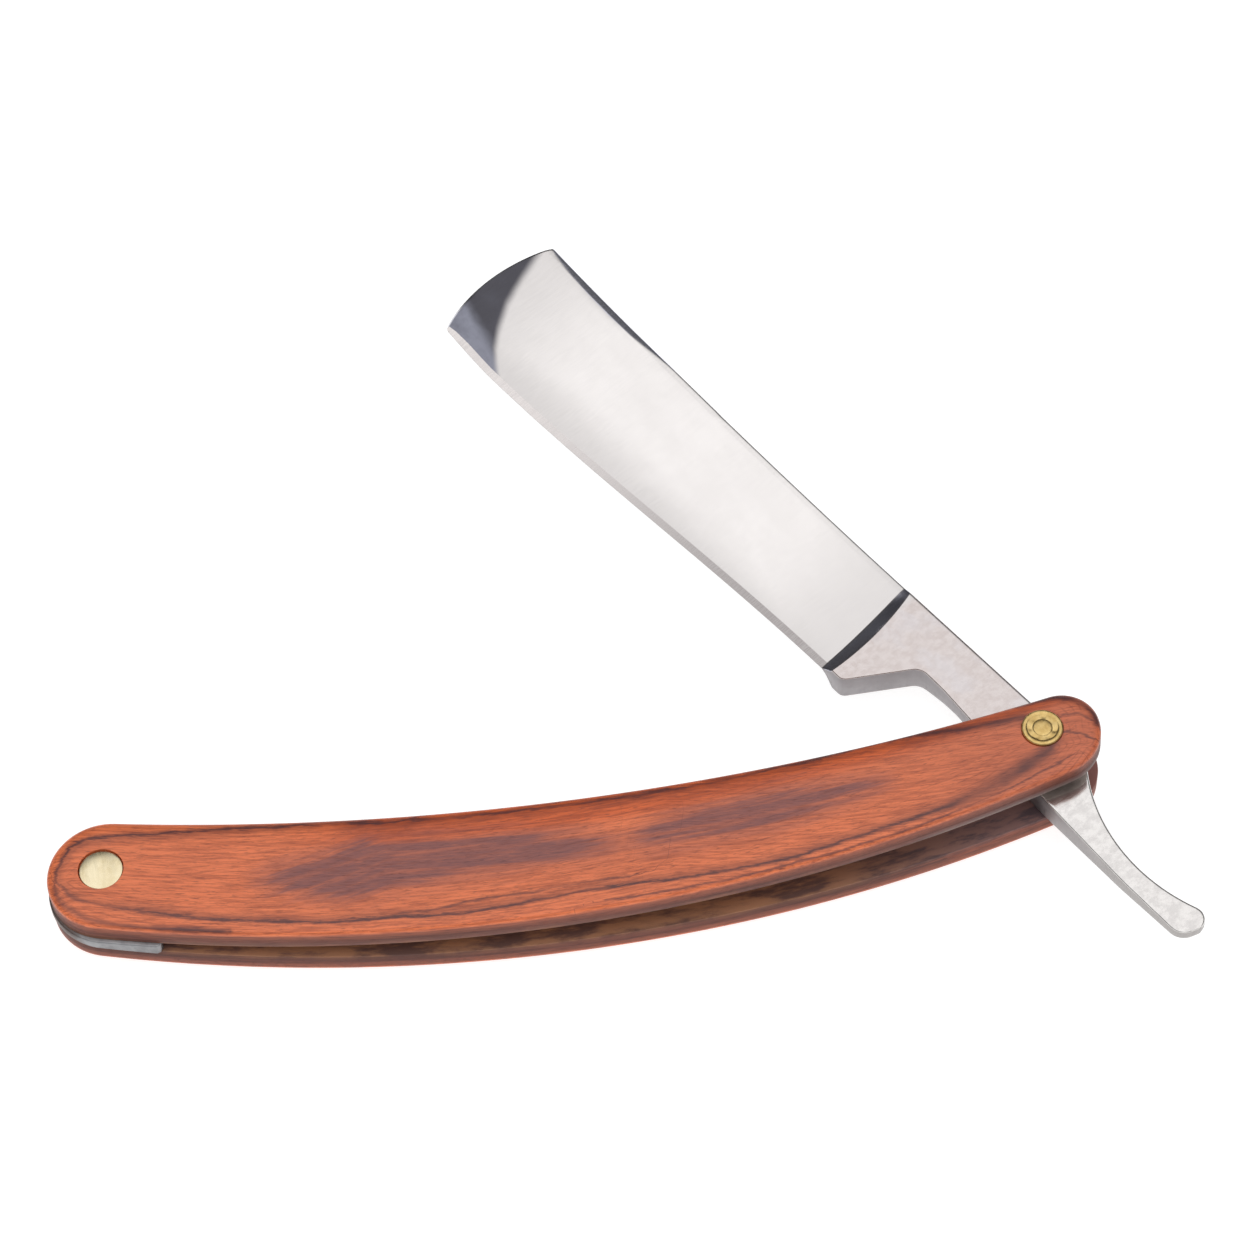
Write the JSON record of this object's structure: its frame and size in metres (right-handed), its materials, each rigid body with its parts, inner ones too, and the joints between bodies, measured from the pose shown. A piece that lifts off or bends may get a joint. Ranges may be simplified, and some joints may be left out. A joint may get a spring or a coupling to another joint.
{
  "type": "straight razor",
  "caption": "Folding straight razor: curved wooden scales on a metal wedge, and a hollow-ground steel blade with a finger tail that turns on a collared brass pin.",
  "frame": {"origin": "the point where the pivot pin's axis leaves the outer face of the back scale, which is the face the razor lies on", "axes": "+Z along the pivot pin from the back scale to the front scale; +X in the line through both pins, from the wedge rivet to the pivot; +Y towards the hollow back of the handle, the side that the blade opens to. -Z is within 1.1 degrees of the back face's normal, because the scales taper towards the wedge."},
  "size_m": [0.1526, 0.1291, 0.0146],
  "materials": {
    "scales": "satin lacquered, red-brown with dark grain lines",
    "steel": "satin ground steel",
    "wedge": "satin grey metal",
    "brass": "lightly worn yellow brass",
    "pale_brass": "polished pale brass"
  },
  "bodies": {
    "handle": {"front_scale": "scales", "back_scale": "scales", "wedge": "wedge", "pivot_pin": "brass", "front_pivot_collar": "brass", "back_pivot_collar": "brass", "front_thrust_washer": "brass", "back_thrust_washer": "brass", "wedge_rivet_front": "pale_brass", "wedge_rivet_back": "pale_brass"},
    "blade": {"blade": "steel"}
  },
  "joints": [
    {"name": "blade_pivot", "type": "hinge", "parent": "handle", "child": "blade", "pos_m": [0, 0, 0.007], "axis": [0, 0, -1], "range_deg": [-54.5, 282]}
  ]
}
